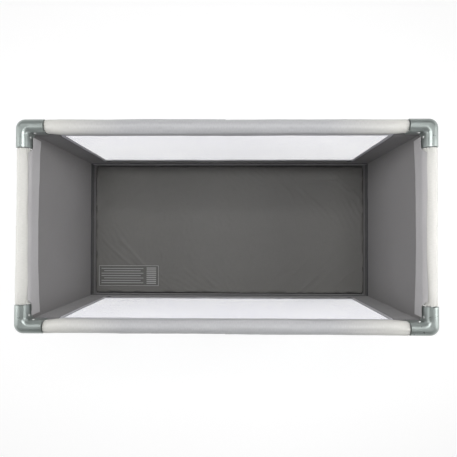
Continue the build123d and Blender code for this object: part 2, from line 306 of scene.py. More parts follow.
class Surface(Nodes):
    """A principled material."""

    def __init__(self, name, roughness=0.6, **settings):
        self.material = bpy.data.materials.new(name)
        self.material.use_nodes = True
        super().__init__(self.material.node_tree)
        self.shader = self.tree.nodes["Principled BSDF"]
        self.set("Roughness", roughness)
        for key, value in settings.items():
            self.set(key.replace("_", " "), value)

    def set(self, name, value):
        self.feed(self.shader.inputs[name], value)

    def scaled(self, vector, x, y, z):
        made = self.node("VectorMath")
        made.operation = "MULTIPLY"
        self.feed(made.inputs[0], vector)
        made.inputs[1].default_value = (x, y, z)
        return made.outputs[0]

    def noise(self, vector, scale, detail=3.0, rough=0.55):
        made = self.node("TexNoise", Vector=vector, Scale=scale, Detail=detail, Roughness=rough)
        return made.outputs["Fac"]

    def mix(self, share, a, b):
        made = self.node("Mix")
        made.data_type = "RGBA"
        self.feed(made.inputs["Factor"], share)
        self.feed(made.inputs["A"], a)
        self.feed(made.inputs["B"], b)
        return made.outputs["Result"]

    def colour(self, value):
        self.set("Base Color", value)

    def bump(self, height, strength, distance):
        made = self.node("Bump", Height=height, Strength=strength, Distance=distance)
        before = self.shader.inputs["Normal"].links
        if before:
            self.tree.links.new(before[0].from_socket, made.inputs["Normal"])
        self.set("Normal", made.outputs["Normal"])

    def occlusion_shade(self, reach):
        """How open a surface is, from ambient occlusion: 0 in corners and gaps, 1 on open surfaces. It
        paints shade into colour.
        """
        made = self.node("AmbientOcclusion", Distance=reach)
        made.samples = 4
        made.only_local = True
        return made.outputs["AO"]

    def weave(self, vector, pitch):
        """The height of a plain weave, from 0 to 1, in a plane given in metres."""
        parts = self.node("SeparateXYZ", Vector=vector)
        warp = self.math("SINE", self.math("MULTIPLY", parts.outputs["X"], math.pi / pitch))
        weft = self.math("SINE", self.math("MULTIPLY", parts.outputs["Y"], math.pi / pitch))
        over = self.math("GREATER_THAN", self.math("MULTIPLY", warp, weft), 0.0)
        a = self.math("MULTIPLY", self.math("ABSOLUTE", warp), over)
        b = self.math("MULTIPLY", self.math("ABSOLUTE", weft), self.math("SUBTRACT", 1.0, over))
        return self.math("ADD", a, b)


def rgb(r, g, b):
    """A screen colour from 0 to 255 as linear light."""
    return tuple((c / 255) ** 2.2 for c in (r, g, b)) + (1.0,)


def shade(colour, share):
    return tuple(min(1.0, c * share) for c in colour[:3]) + (1.0,)


def plastic(name, colour, roughness=0.38, grain=0.25, metal=0.0):
    """Satin moulded plastic: fine grain, faint flow marks, painted shade in its corners and gaps, and rubbed
    spots.
    """
    s = Surface(name, roughness, Metallic=metal)
    flow = s.noise(s.scaled(s.place, 14, 14, 5), 1.0, 4)
    body = s.mix(s.spread(flow, 0.3, 0.7, 0, 1), shade(colour, 0.92), shade(colour, 1.07))
    rubbed = s.noise(s.place, 55, 5, 0.7)
    body = s.mix(s.spread(rubbed, 0.62, 0.8, 0, 0.35), body, shade(colour, 1.25))
    # painted shade: the colour darkens towards 45% where ambient occlusion finds corners and gaps
    s.colour(s.mix(s.spread(s.occlusion_shade(0.012), 0.25, 0.9, 0.45, 0), body, shade(colour, 0.45)))
    rough = s.spread(rubbed, 0.3, 0.8, roughness - 0.06, roughness + 0.14)
    s.set("Roughness", rough)
    s.bump(s.noise(s.place, 1500, 2), grain, 0.0002)
    return s.material


def coated(name, colour, roughness=0.35):
    """Powder coat on steel: orange peel, small chips near the ends of use."""
    s = Surface(name, roughness, Coat_Weight=0.15)
    worn = s.noise(s.place, 120, 6, 0.75)
    body = s.mix(s.spread(s.noise(s.place, 9, 2), 0.35, 0.65, 0, 1), shade(colour, 0.9), shade(colour, 1.08))
    s.colour(s.mix(s.spread(worn, 0.72, 0.76, 0, 0.5), body, rgb(170, 170, 168)))
    s.set("Roughness", s.spread(worn, 0.3, 0.7, roughness, roughness + 0.12))
    s.bump(s.noise(s.place, 420, 2), 0.25, 0.0004)
    return s.material


def steel(name, colour, roughness=0.28):
    """Plated steel with fine drawn lines and a few dull spots."""
    s = Surface(name, roughness, Metallic=1.0)
    lines = s.noise(s.scaled(s.place, 60, 60, 2400), 1.0, 3)
    dull = s.noise(s.place, 160, 4)
    s.colour(s.mix(s.spread(dull, 0.45, 0.7, 0, 0.6), colour, shade(colour, 0.7)))
    s.set("Roughness", s.spread(lines, 0.3, 0.7, roughness - 0.06, roughness + 0.12))
    s.bump(lines, 0.12, 0.0002)
    return s.material


def cloth(name, colour, pitch=0.0009, contrast=0.12, roughness=0.75, sheen=0.25, mottle=0.08,
          bump=0.35, object_space=False):
    """Woven polyester: warp and weft, uneven yarns, a soft mottle, and painted shade between the yarns."""
    s = Surface(name, roughness, Sheen_Weight=sheen, Sheen_Roughness=0.45)
    plane = s.place if object_space else s.plane
    height = s.weave(plane, pitch)
    yarn_u = s.noise(s.scaled(plane, 30, 1400, 1), 1.0, 2)
    yarn_v = s.noise(s.scaled(plane, 1400, 30, 1), 1.0, 2)
    yarns = s.math("ADD", yarn_u, yarn_v)
    body = s.mix(s.spread(yarns, 0.75, 1.25, 0, 1), shade(colour, 1 - contrast), shade(colour, 1 + contrast))
    soft = s.noise(s.place, 7, 4, 0.6)
    body = s.mix(s.spread(soft, 0.3, 0.7, 0, 1), shade(colour, 1 - mottle), body)
    # painted shade between the yarns: the colour darkens where the weave is low
    s.colour(s.mix(s.spread(height, 0, 0.5, 0.35, 0), body, shade(colour, 0.6)))
    s.set("Roughness", s.spread(soft, 0.3, 0.7, roughness - 0.06, roughness + 0.08))
    s.bump(height, bump, 0.0003)
    s.bump(s.noise(s.place, 90, 3), 0.12, 0.0012)
    return s.material


def sleeve_cloth():
    """The rails' silvery cover: a heather of pale and grey yarns, with a painted sheen, lighter and
    creamier, towards the castings.
    """
    s = Surface("sleeve_cloth", 0.42, Sheen_Weight=0.1, Sheen_Roughness=0.35)
    heather = s.noise(s.scaled(s.plane, 90, 900, 1), 1.0, 3, 0.6)
    cross = s.noise(s.scaled(s.plane, 1100, 160, 1), 1.0, 2)
    silver = s.mix(s.spread(heather, 0.3, 0.7, 0, 1), rgb(175, 176, 179), rgb(197, 197, 199))
    silver = s.mix(s.spread(cross, 0.35, 0.75, 0, 0.2), silver, rgb(208, 208, 208))
    # painted sheen: a lighter, creamier colour takes over towards the castings, and covers the end rails all
    # along
    painted_sheen = s.mix(s.spread(heather, 0.3, 0.7, 0, 1), rgb(209, 208, 203), rgb(224, 223, 218))
    across = s.node("SeparateXYZ", Vector=s.place)
    painted_sheen_share = s.spread(s.math("ABSOLUTE", across.outputs["X"]), SLEEVE_X - 0.24, SLEEVE_X - 0.03, 0, 1)
    s.colour(s.mix(painted_sheen_share, silver, painted_sheen))
    height = s.weave(s.plane, 0.0011)
    s.bump(height, 0.3, 0.0003)
    s.bump(s.noise(s.scaled(s.place, 60, 60, 60), 1.0, 3), 0.2, 0.002)
    return s.material


def netting():
    """Knitted netting: a six-sided lattice of holes between soft white threads."""
    s = Surface("netting", 0.7, Sheen_Weight=0.2)
    parts = s.node("SeparateXYZ", Vector=s.plane)
    u, v = parts.outputs["X"], parts.outputs["Y"]
    turn = 2 * math.pi / 0.0026
    lean = s.math("MULTIPLY", v, math.sqrt(3) / 2)
    half = s.math("MULTIPLY", u, 0.5)
    waves = s.math("COSINE", s.math("MULTIPLY", u, turn))
    for way in ("ADD", "SUBTRACT"):
        slant = s.math(way, half, lean)
        waves = s.math("ADD", waves, s.math("COSINE", s.math("MULTIPLY", slant, turn)))
    solid = s.spread(waves, -1.43, -0.97, 1, 0)
    thread = s.noise(s.scaled(s.plane, 700, 700, 1), 1.0, 2)
    s.colour(s.mix(s.spread(thread, 0.3, 0.7, 0, 1), rgb(198, 198, 240), rgb(228, 228, 255)))
    s.set("Alpha", solid)
    s.bump(solid, 0.4, 0.0004)
    return s.material


def webbing(name, colour):
    """Ribbed polyester webbing, with painted shade in the ribs' hollows and a painted highlight on their
    crests.
    """
    s = Surface(name, 0.6, Sheen_Weight=0.3)
    parts = s.node("SeparateXYZ", Vector=s.plane)
    ribs = s.math("SINE", s.math("MULTIPLY", parts.outputs["X"], 2 * math.pi / 0.0016))
    picks = s.math("SINE", s.math("MULTIPLY", parts.outputs["Y"], 2 * math.pi / 0.0021))
    height = s.spread(s.math("ADD", ribs, s.math("MULTIPLY", picks, 0.5)), -1.5, 1.5, 0, 1)
    # painted shade and highlight: darker in the ribs' hollows, lighter on their crests
    s.colour(s.mix(height, shade(colour, 0.65), shade(colour, 1.25)))
    s.bump(height, 0.6, 0.0005)
    return s.material


MATERIALS = {
    "casting": plastic("casting_plastic", rgb(162, 170, 167), 0.31, 0.12, 0.6),
    "foot": plastic("foot_plastic", rgb(104, 112, 110), 0.48, 0.4),
    "latch": plastic("latch_plastic", rgb(128, 136, 133), 0.45),
    "button": plastic("button_plastic", rgb(66, 70, 70), 0.5, 0.45),
    "hub": plastic("hub_plastic", rgb(58, 60, 60), 0.5, 0.4),
    "post": coated("post_coat", rgb(120, 123, 124)),
    "base": coated("base_coat", rgb(96, 98, 100)),
    "rivet": steel("rivet_steel", (0.86, 0.86, 0.85, 1), 0.3),
    "rail": steel("rail_steel", (0.62, 0.63, 0.64, 1), 0.34),
    "sleeve": sleeve_cloth(),
    "wall": cloth("wall_cloth", rgb(132, 130, 130)),
    # painted shade: the side walls are the end walls' cloth, given a darker colour for the shade in the
    # corners
    "side_wall": cloth("shaded_side_wall_cloth", rgb(125, 123, 124)),
    "flap": cloth("flap_cloth", rgb(197, 195, 196), contrast=0.08),
    "pocket": cloth("pocket_cloth", rgb(112, 110, 112)),
    # painted light and shade: the back wall's band is pale, partly a paler band and partly painted light
    # against the wall's shade; the other walls' band is a painted dark shade
    "skirt": cloth("skirt_cloth", rgb(190, 188, 190)),
    "painted_shade_band": cloth("painted_shade_band_cloth", rgb(56, 56, 57)),
    "binding": cloth("binding_cloth", rgb(206, 205, 212), pitch=0.0007),
    "dark_binding": cloth("dark_binding_cloth", rgb(52, 52, 58), pitch=0.0007),
    "floor": cloth("floor_cloth", rgb(74, 74, 76)),
    "mattress": cloth("mattress_cloth", rgb(121, 120, 117), pitch=0.0008, contrast=0.07, roughness=0.62,
                      sheen=0.15, mottle=0.1, bump=0.2, object_space=True),
    "patch": cloth("patch_cloth", rgb(110, 110, 107), pitch=0.0006, contrast=0.05),
    "thread": cloth("thread", rgb(196, 196, 194), pitch=0.0005),
    "dark_thread": cloth("dark_thread", rgb(28, 28, 31), pitch=0.0005),
    "netting": netting(),
    "strap": webbing("strap_webbing", rgb(70, 70, 74)),
}


def dress(obj, material):
    obj.data.materials.clear()
    obj.data.materials.append(MATERIALS[material])
    return obj


def dress_cad():
    """Gives every hard CAD node its material."""
    prefixes = {
        "corner_casting": "casting", "corner_rivets": "rivet", "post_tube": "post", "foot": "foot",
        "latch_housing": "latch", "release_button": "button", "base_tube": "base", "base_hub": "hub",
        "front_rail": "rail", "back_rail": "rail", "left_rail": "rail", "right_rail": "rail",
    }
    for node, obj in frame["nodes"].items():
        for prefix, material in prefixes.items():
            if node.startswith(prefix):
                dress(obj, material)


# ---- how the soft goods follow the frame ----
def fold_along_side(obj, body):
    """Carries a piece with its body, on a mesh of its own."""
    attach(obj, body)
    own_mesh(obj)


def fold_along_end(obj, body):
    """Carries a piece with its body, on a mesh of its own."""
    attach(obj, body)
    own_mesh(obj)


SIDE_BODY = {"front": "corner_fl", "back": "corner_bl"}
END_BODY = {"left": "corner_fl", "right": "corner_fr"}


# ---- rail sleeves ----
PLEATS, PLEAT_DEPTH, PLEAT_REACH = 15, 0.0012, 0.014  # the gathers where a sleeve enters its casting
PINCH_DEPTH, PINCH_REACH = 0.0014, 0.004  # the sleeve's end, pulled in all round
TAPER_DEPTH, TAPER_REACH, TAPER_TURN = 0.0050, 0.030, 0.4  # and pulled in further on its inner side
WAVE, RIPPLE = 0.0013, 0.0004  # soft waves along the foam, and small ripples
LATCH_BEGINS, LATCH_FULL = 0.095, 0.070  # from the rail's middle: the sleeve turns boxy over the latch


def sleeve_radius(distance, angle, seed, length):
    """A sleeve's radius at a distance from the casting: gathers at its end and soft waves."""
    gather = math.exp(-distance / PLEAT_REACH)
    pleats = PLEAT_DEPTH * gather * math.sin(PLEATS * angle + 2 * wobble(angle, seed))
    pull_in = PINCH_DEPTH * math.exp(-distance / PINCH_REACH)
    inner = max(0.0, math.cos(angle - TAPER_TURN))
    pull_in += TAPER_DEPTH * inner * math.exp(-(distance / TAPER_REACH) ** 2)
    free = 1 - ramp(distance, length - 0.03, length)
    waves = WAVE * wobble(distance * 8, seed, 1.5 * math.cos(angle))
    waves += RIPPLE * wobble(distance * 38, seed + 5, 2.5 * math.sin(angle))
    latch = ramp(distance, length - LATCH_BEGINS, length - LATCH_FULL)
    boxy = 1 / (abs(math.cos(angle)) ** 4 + abs(math.sin(angle)) ** 4) ** 0.25 - 1
    under = max(0.0, -math.sin(angle))
    return SLEEVE_R - pull_in + pleats + waves * free + latch * under * (0.6 * boxy * SLEEVE_R + 0.002)


def make_sleeves():
    """Two half sleeves on each rail. Each goes from its casting to the rail's middle."""
    x, y = Vector((1, 0, 0)), Vector((0, 1, 0))
    kinds = ((SIDES, ENDS, y, POST_Y, x, SLEEVE_X), (ENDS, SIDES, x, POST_X, y, SLEEVE_Y))
    seed = 0
    for rails, halves, out, post, along, length in kinds:
        for rail, sign in zip(rails, (-1, 1)):
            for half, way in zip(halves, (-1, 1)):
                seed += 7
                middle = out * sign * post + Vector((0, 0, RAIL_Z))
                make_sleeve(rail, half, middle, along * -way, length, seed, out * -sign)


def make_sleeve(rail, half, middle, along, length, seed, inward):
    """Half a rail's padded cover."""
    start, pivot = middle - along * length, middle - along * LATCH_PIVOT
    up, ring = Vector((0, 0, 1)), 48
    us = [2 * math.pi * SLEEVE_R * i / ring for i in range(ring)]
    vs = stops(0.0022, 0, 0.03) + steps(0.03, length, 0.006)[1:]

    def point(u, v):
        angle = u / SLEEVE_R
        r = sleeve_radius(v, angle, seed, length)
        return start + along * v + (inward * math.cos(angle) + up * math.sin(angle)) * r

    obj = surface(f"{rail}_cover_{half}", us, vs, point, wrap=True)
    thicken(obj, FABRIC, "sleeve", -1.0)
    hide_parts(f"{rail}_sleeve_{half}")
    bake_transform(obj)


# ---- walls ----
WALL_TOP = RAIL_Z - 0.0135
WALL_TOP_CORNER = 0.7035
WALL_END_X, WALL_END_Y = POST_X - WALL_IN, POST_Y - WALL_IN
WALL_SET_IN = 0.001  # a wall's foot stands this far inside its CAD node's outer face
FLARE, FLARE_LOW, FLARE_HIGH = 0.0085, 0.690, 0.722  # a wall's top turns out to the sleeve
LOOP_STEP, TAPE_WIDTH, TAPE_BULGE = 0.02, 0.012, 0.0006  # the tapes round the windows


def wall_depth(z, floor_edge, post, from_post, folds):
    """A wall's distance from the middle plane. It is taut at its posts and its foot, and slack between."""
    low = floor_edge - WALL_SET_IN
    depth = low + (post - WALL_IN - low) * ramp(z, WALL_LOW, WALL_STEP)
    depth += FLARE * ramp(z, FLARE_LOW, FLARE_HIGH)
    slack = ramp(from_post, 0.02, 0.09) * ramp(z, WALL_LOW, WALL_LOW + 0.08)
    return depth - slack * abs(folds) * 1.6


def side_depth(x, z, side):
    folds = 0.0010 * wobble(x * 7, z * 5, side * 3.1) + 0.0005 * wobble(x * 26, z * 13, side * 9.7)
    return wall_depth(z, WALL_Y, POST_Y, POST_X - abs(x), folds)


def end_depth(y, z, end):
    folds = 0.0014 * wobble(y * 6, z * 4, end * 5.3) + 0.0006 * wobble(y * 24, z * 12, end * 7.9)
    return wall_depth(z, WALL_X, POST_X, POST_Y - abs(y), folds)


def fitted(z, along, reach):
    """Fits a height on the flat cloth to the wall's top edge, which is lower beside the castings."""
    top = WALL_TOP - (WALL_TOP - WALL_TOP_CORNER) * ramp(abs(along), reach - 0.008, reach + 0.004)
    return WALL_LOW + (z - WALL_LOW) * (top - WALL_LOW) / (WALL_TOP - WALL_LOW)


def side_point(x, z, sign):
    z = fitted(z, x, SLEEVE_X)
    return Vector((x, sign * side_depth(x, z, sign), z))


def end_point(y, z, sign):
    z = fitted(z, y, SLEEVE_Y)
    return Vector((sign * end_depth(y, z, sign), y, z))


def window_loop(inset, sign, lift):
    """Points round the window, inset from its edge and lifted from the wall's inner face."""
    x, low, high = WINDOW_X - inset, WINDOW_LOW + inset, WINDOW_HIGH - inset
    flat = [(-x, low), (x, low), (x, high), (-x, high), (-x, low)]
    points = []
    for (xa, za), (xb, zb) in zip(flat, flat[1:]):
        count = max(2, round(max(abs(xb - xa), abs(zb - za)) / LOOP_STEP))
        for i in range(count):
            px, pz = xa + (xb - xa) * i / count, za + (zb - za) * i / count
            points.append(side_point(px, pz, sign) - Vector((0, sign * lift, 0)))
    points.append(points[0])
    return points


def window_strip(name, material, sign, inner, outer, lift, thickness):
    """A flat tape round the window between two insets, on the wall's inner face."""
    ring_in, ring_out = window_loop(inner, sign, lift)[:-1], window_loop(outer, sign, lift)[:-1]
    count = min(len(ring_in), len(ring_out))

    def resampled(ring, i):
        return ring[round(i * len(ring) / count) % len(ring)]

    def point(u, v):
        i = round(u / LOOP_STEP)
        t = v / TAPE_WIDTH
        p = resampled(ring_in, i).lerp(resampled(ring_out, i), t)
        return p - Vector((0, sign * TAPE_BULGE * (1 - (2 * t - 1) ** 2), 0))

    us, vs = [LOOP_STEP * i for i in range(count)], [TAPE_WIDTH * row for row in (0.0, 0.5, 1.0)]
    return thicken(surface(name, us, vs, point, wrap=True), thickness, material)


# ---- side walls ----
NET_OVERLAP, NET_BEHIND = 0.004, 0.0011  # the net's seam allowance, and how far it is behind the cloth
TAPE_OUTER, TAPE_INNER, TAPE_T = -0.009, 0.0005, 0.0009  # the binding's edges, from the window's edge
EDGE_OUTER, EDGE_T = -0.0115, 0.0008  # the dark piping outside the binding
TAPE_ROW = -0.0035  # the binding's row of stitches
TACK_IN, TACK_BELOW = 0.008, 0.019  # the tacks' places, from the window's lower corners
TACK_HALF = (0.0100, 0.0014, 0.0065)
HEM_R = 0.0024


def window_trim(side, sign):
    """The window's bindings inside and outside the wall, with their rows of stitches."""
    name, out = f"{side}_window", Vector((0, sign, 0))
    tape = window_strip(f"{name}_binding", "binding", sign, TAPE_OUTER, TAPE_INNER, 0.0011, TAPE_T)
    edge = window_strip(f"{name}_edge", "dark_binding", sign, EDGE_OUTER, TAPE_OUTER, 0.0010, EDGE_T)
    seam = stitches(f"{name}_stitches", window_loop(TAPE_ROW, sign, 0.0021), -out)
    outer_tape = window_strip(f"{name}_outer_binding", "dark_binding", sign, TAPE_OUTER, TAPE_INNER,
                              -0.0013, TAPE_T)
    outer_seam = stitches(f"{name}_outer_stitches", window_loop(TAPE_ROW, sign, -0.0023), out)
    return tape, edge, seam, outer_tape, outer_seam


def make_side_walls():
    for side, sign in zip(SIDES, (-1, 1)):
        xs = stops(0.014, -WALL_END_X, -WINDOW_X, WINDOW_X, WALL_END_X)
        zs = stops(0.013, WALL_LOW, WINDOW_LOW, WINDOW_HIGH, WALL_TOP)
        wall = surface(f"{side}_wall_cloth", xs, zs, lambda x, z: side_point(x, z, sign),
                       keep=lambda x, z: abs(x) >= WINDOW_X or not WINDOW_LOW < z < WINDOW_HIGH)
        # its darker cloth is painted shade
        thicken(wall, FABRIC, "side_wall")
        nets = surface(f"{side}_window_net", steps(-WINDOW_X - NET_OVERLAP, WINDOW_X + NET_OVERLAP, 0.02),
                       steps(WINDOW_LOW - NET_OVERLAP, WINDOW_HIGH + NET_OVERLAP, 0.02),
                       lambda x, z: side_point(x, z, sign) + Vector((0, sign * NET_BEHIND, 0)))
        thicken(nets, MESH, "netting")
        trim = window_trim(side, sign)
        hem = wall_hem(f"{side}_wall_hem", side_point, WALL_END_X - 0.01, sign)
        tacks = window_tacks(side, sign)
        skirt = wall_skirt(f"{side}_wall", side_point, WALL_END_X - 0.002, sign, Vector((0, sign, 0)))
        details = (*trim, hem, tacks, *skirt)
        for obj in (wall, nets, *details):
            fold_along_side(obj, SIDE_BODY[side])
        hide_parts(f"side_wall_{side}")
        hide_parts(f"mesh_window_{side}")


def wall_hem(name, point, reach, sign):
    """The hem along a wall's foot."""
    path = [point(p, WALL_LOW + 0.002, sign) for p in steps(-reach, reach, 0.02)]
    return dress(tube(name, path, HEM_R), "dark_binding")


def wall_skirt(name, point, reach, sign, out):
    """The piped seam low on a wall, the band of doubled cloth below it, and its stitches outside."""
    along = steps(-reach, reach, 0.02)
    on_wall = out * 0.0010
    cord = tube(f"{name}_seam_cord", [point(p, SEAM_Z, sign) - on_wall for p in along], PIPING_R)
    dress(cord, "dark_binding")
    on_wall = out * 0.0012
    band = surface(f"{name}_skirt", along, steps(SKIRT_LOW, SEAM_Z - 0.002, 0.01),
                   lambda p, z: point(p, z, sign) - on_wall)
    # the back band's pale colour is partly painted light; the others' dark colour is a painted shade over
    # the gap above the mattress
    thicken(band, BAND_T, "skirt" if name.startswith("back") else "painted_shade_band")
    outside = out * 0.0007
    rows = []
    for number, z in enumerate((SEAM_Z - SEAM_ROW, SEAM_Z + SEAM_ROW), 1):
        path = [point(p, z, sign) + outside for p in along]
        rows.append(stitches(f"{name}_outer_stitches_{number}", path, out))
    return cord, band, *rows


def window_tacks(side, sign):
    """The dark stitched tacks at the window's lower corners."""
    bm = bmesh.new()
    for way in (-1, 1):
        place = side_point(way * (WINDOW_X - TACK_IN), WINDOW_LOW - TACK_BELOW, sign)
        place -= Vector((0, sign * 0.0022, 0))
        matrix = Matrix.Translation(place) @ Matrix.Diagonal((*TACK_HALF, 1))
        bmesh.ops.create_uvsphere(bm, u_segments=20, v_segments=10, radius=1, matrix=matrix)
    return dress(smooth(add_bmesh(f"{side}_window_tacks", bm)), "dark_thread")


def flap_path(y, sign):
    """A flap's section: the angle above the rail's middle where it starts, the lengths of its round
    and straight stretches, and its free edge."""
    on_sleeve = 1 - ramp(abs(y), SLEEVE_Y - 0.010, SLEEVE_Y + 0.001)
    start = FLAP_WRAP[sign] + FLAP_STRAY[sign] * wobble(y * 8, sign * 3.1, 0.7)
    above = FLAP_LEAVES + (start - FLAP_LEAVES) * on_sleeve
    edge_z = FLAP_LOW + FLAP_ARCH * (1 - (y / WALL_END_Y) ** 2)
    low = Vector((POST_X - WALL_IN - FLAP_OFF, edge_z))
    straight = (low - sleeve_edge(FLAP_LEAVES)).length
    return above, FLAP_REACH * (above - FLAP_LEAVES), straight, low


def sleeve_edge(angle):
    """The place on an end rail's inner side at an angle above the middle, as X and Z."""
    return Vector((POST_X - FLAP_REACH * math.cos(angle), RAIL_Z + FLAP_REACH * math.sin(angle)))


def flap_point(y, t, sign):
    """The turned-over band of an end rail: down the sleeve's inner side, then hanging to t = 1."""
    above, round_run, straight, low = flap_path(y, sign)
    travelled = t * (round_run + straight)
    if travelled < round_run:
        place = sleeve_edge(above - travelled / FLAP_REACH)
    else:
        place = sleeve_edge(FLAP_LEAVES).lerp(low, (travelled - round_run) / straight)
    wave = 0.0012 * wobble(y * 11, 0.4, sign * 2.2) + 0.0005 * wobble(y * 40, 0.9, sign)
    return Vector((sign * (place.x + wave * t * t), y, place.y))


def make_end_walls():
    for end, sign in zip(ENDS, (-1, 1)):
        ys = steps(-WALL_END_Y, WALL_END_Y, 0.013)
        zs = steps(WALL_LOW, WALL_TOP, 0.013)
        wall = surface(f"{end}_wall_cloth", ys, zs, lambda y, z: end_point(y, z, sign))
        thicken(wall, FABRIC, "wall")
        reach = WALL_END_Y - 0.012
        rows = steps(-reach, reach, 0.010)
        length = sum(sum(flap_path(y, sign)[1:3]) for y in rows) / len(rows)
        flap = surface(f"{end}_wall_flap", rows, steps(0, length, 0.004),
                       lambda y, v: flap_point(y, v / length, sign))
        thicken(flap, FABRIC, "flap")
        hem = tube(f"{end}_flap_hem", [flap_point(y, 1.0, sign) for y in rows], 0.0011)
        dress(hem, "flap")
        inside = Vector((sign * 0.0007, 0, 0))
        row = [flap_point(y, 0.9, sign) - inside for y in steps(-reach, reach, 0.02)]
        seam = stitches(f"{end}_flap_stitches", row, Vector((-sign, 0, 0)))
        foot_hem = wall_hem(f"{end}_wall_hem", end_point, WALL_END_Y - 0.01, sign)
        skirt = wall_skirt(f"{end}_wall", end_point, WALL_END_Y - 0.002, sign, Vector((sign, 0, 0)))
        for obj in (wall, flap, hem, seam, foot_hem, *skirt):
            fold_along_end(obj, END_BODY[end])
        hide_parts(f"end_wall_{end}")


# ---- pockets round the posts ----
POCKET_CLEAR_LOW, POCKET_CLEAR_TOP = 0.002, 0.0015  # the gaps to the foot and the casting
CREASE, CINCH, CINCH_REACH = 0.05, 0.035, 0.006  # shares of the pocket's radius, and the hems' pull
POCKET_HEM_R, HEM_IN = 0.0013, 0.98


def pocket_outline(count):
    """The plan of a pocket round a post at the origin, drawn to a point at the inner corner (+, +)."""
    reach = WALL_IN * math.sqrt(2) - 0.0006
    tangent = math.acos(POCKET_R / reach)
    points = []
    for i in range(count):
        angle = tangent + (2 * math.pi - 2 * tangent) * i / (count - 1)
        points.append(Vector((POCKET_R * math.cos(angle), POCKET_R * math.sin(angle))))
    first, last, tip = points[0], points[-1], Vector((reach, 0))
    points += [last.lerp(tip, share) for share in (0.25, 0.5, 0.75)]
    points.append(tip)
    points += [first.lerp(tip, share) for share in (0.75, 0.5, 0.25)]
    cos, sin = math.cos(math.radians(45)), math.sin(math.radians(45))
    return [Vector((p.x * cos - p.y * sin, p.x * sin + p.y * cos)) for p in points]


def make_pockets():
    low = high_of("foot_front_left").z + POCKET_CLEAR_LOW
    top = CASTING_UNDER - POCKET_CLEAR_TOP
    outline = pocket_outline(29)
    lengths = [0.0]
    for a, b in zip(outline, outline[1:]):
        lengths.append(lengths[-1] + (b - a).length)
    for number, (body, (corner, sx, sy)) in enumerate(CORNERS.items()):
        def point(u, v):
            p = outline[min(range(len(lengths)), key=lambda k: abs(lengths[k] - u))]
            crease = 1 + CREASE * abs(wobble(v * 17, u * 30, number * 4.4)) * ramp(p.length, 0, 0.02)
            pull = CINCH * math.exp(-(v - low) / CINCH_REACH) + CINCH * math.exp(-(top - v) / CINCH_REACH)
            crease -= pull
            return Vector((sx * (POST_X - p.x * crease), sy * (POST_Y - p.y * crease), v))

        obj = surface(f"{corner}_pocket", lengths, steps(low, top, 0.009), point, wrap=True)
        thicken(obj, 0.0009, "pocket")
        rings = []
        for z in (low + 0.001, top - 0.001):
            loop = [Vector((sx * (POST_X - p.x * HEM_IN), sy * (POST_Y - p.y * HEM_IN), z)) for p in outline]
            rings.append(tube(f"{corner}_pocket_hem_{len(rings) + 1}", loop, POCKET_HEM_R, closed=True))
            dress(rings[-1], "dark_binding")
        for piece in (obj, *rings):
            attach(piece, f"corner_{body}")


# ---- mattress ----
def rounded_box(name, low, high, corner, edge):
    """A box with rounded upright corners and softened rims."""
    bm = bmesh.new()
    size = Vector(high) - Vector(low)
    place = Matrix.Translation((Vector(low) + Vector(high)) / 2) @ Matrix.Diagonal((*size, 1))
    bmesh.ops.create_cube(bm, size=1, matrix=place)
    upright = [e for e in bm.edges if abs(e.verts[0].co.z - e.verts[1].co.z) > 1e-6]
    bmesh.ops.bevel(bm, geom=upright, offset=corner, segments=6, affect="EDGES", profile=0.5)
    rims = [e for e in bm.edges if abs(e.verts[0].co.z - e.verts[1].co.z) < 1e-6]
    bmesh.ops.bevel(bm, geom=rims, offset=edge, segments=3, affect="EDGES", profile=0.5)
    return add_bmesh(name, bm)


def settle_cover(obj, low, high):
    """Lets a stuffed cover settle on its foam block: a cloth simulation with a little air in it."""
    remesh = obj.modifiers.new("voxels", "REMESH")
    remesh.mode = "VOXEL"
    remesh.voxel_size = VOXEL
    bake_modifiers(obj)
    home = [v.co.copy() for v in obj.data.vertices]
    held = obj.vertex_groups.new(name="held")
    held_below = low + HELD_SHARE * (high - low)
    held.add([v.index for v in obj.data.vertices if v.co.z < held_below], 1.0, "REPLACE")
    foam_low = Vector((-MAT_X, -MAT_Y, low)) + Vector((1, 1, 1)) * FOAM_UNDER
    foam_high = Vector((MAT_X, MAT_Y, high)) - Vector((1, 1, 1)) * FOAM_OVER
    foam = rounded_box("foam", foam_low, foam_high, FOAM_CORNER, FOAM_EDGE)
    foam.modifiers.new("collision", "COLLISION")
    foam.collision.thickness_outer = 0.001
    sim = obj.modifiers.new("cover", "CLOTH")
    sim.settings.vertex_group_mass = "held"
    sim.settings.use_pressure = True
    sim.settings.uniform_pressure_force = 1.2
    sim.settings.shrink_min = -0.012
    sim.settings.quality = 5
    sim.settings.mass = 0.15
    sim.collision_settings.distance_min = 0.001
    sim.point_cache.frame_start = 1
    sim.point_cache.frame_end = SIM_FRAMES
    scene = bpy.context.scene
    for number in range(1, SIM_FRAMES + 1):
        scene.frame_set(number)
    bake_modifiers(obj)
    scene.frame_set(1)
    bpy.data.objects.remove(foam)
    for v, start in zip(obj.data.vertices, home):
        moved = v.co - start
        if moved.length > COVER_TRAVEL:
            v.co = start + moved.normalized() * COVER_TRAVEL


def cut_panel(cover, name, left, right):
    """One panel of the cover, cut off at its seams and closed there."""
    bm = bmesh.new()
    bm.from_mesh(cover.data)
    for place, way in ((left, -1), (right, 1)):
        if abs(place) > MAT_X - 0.01:
            continue
        geometry = bm.verts[:] + bm.edges[:] + bm.faces[:]
        bmesh.ops.bisect_plane(bm, geom=geometry, plane_co=(place, 0, 0), plane_no=(way, 0, 0),
                               clear_outer=True)
        rim = [e for e in bm.edges if e.is_boundary]
        filled = bmesh.ops.holes_fill(bm, edges=rim, sides=0)
        bmesh.ops.triangulate(bm, faces=filled["faces"])
    return dress(smooth(add_bmesh(name, bm)), "mattress")


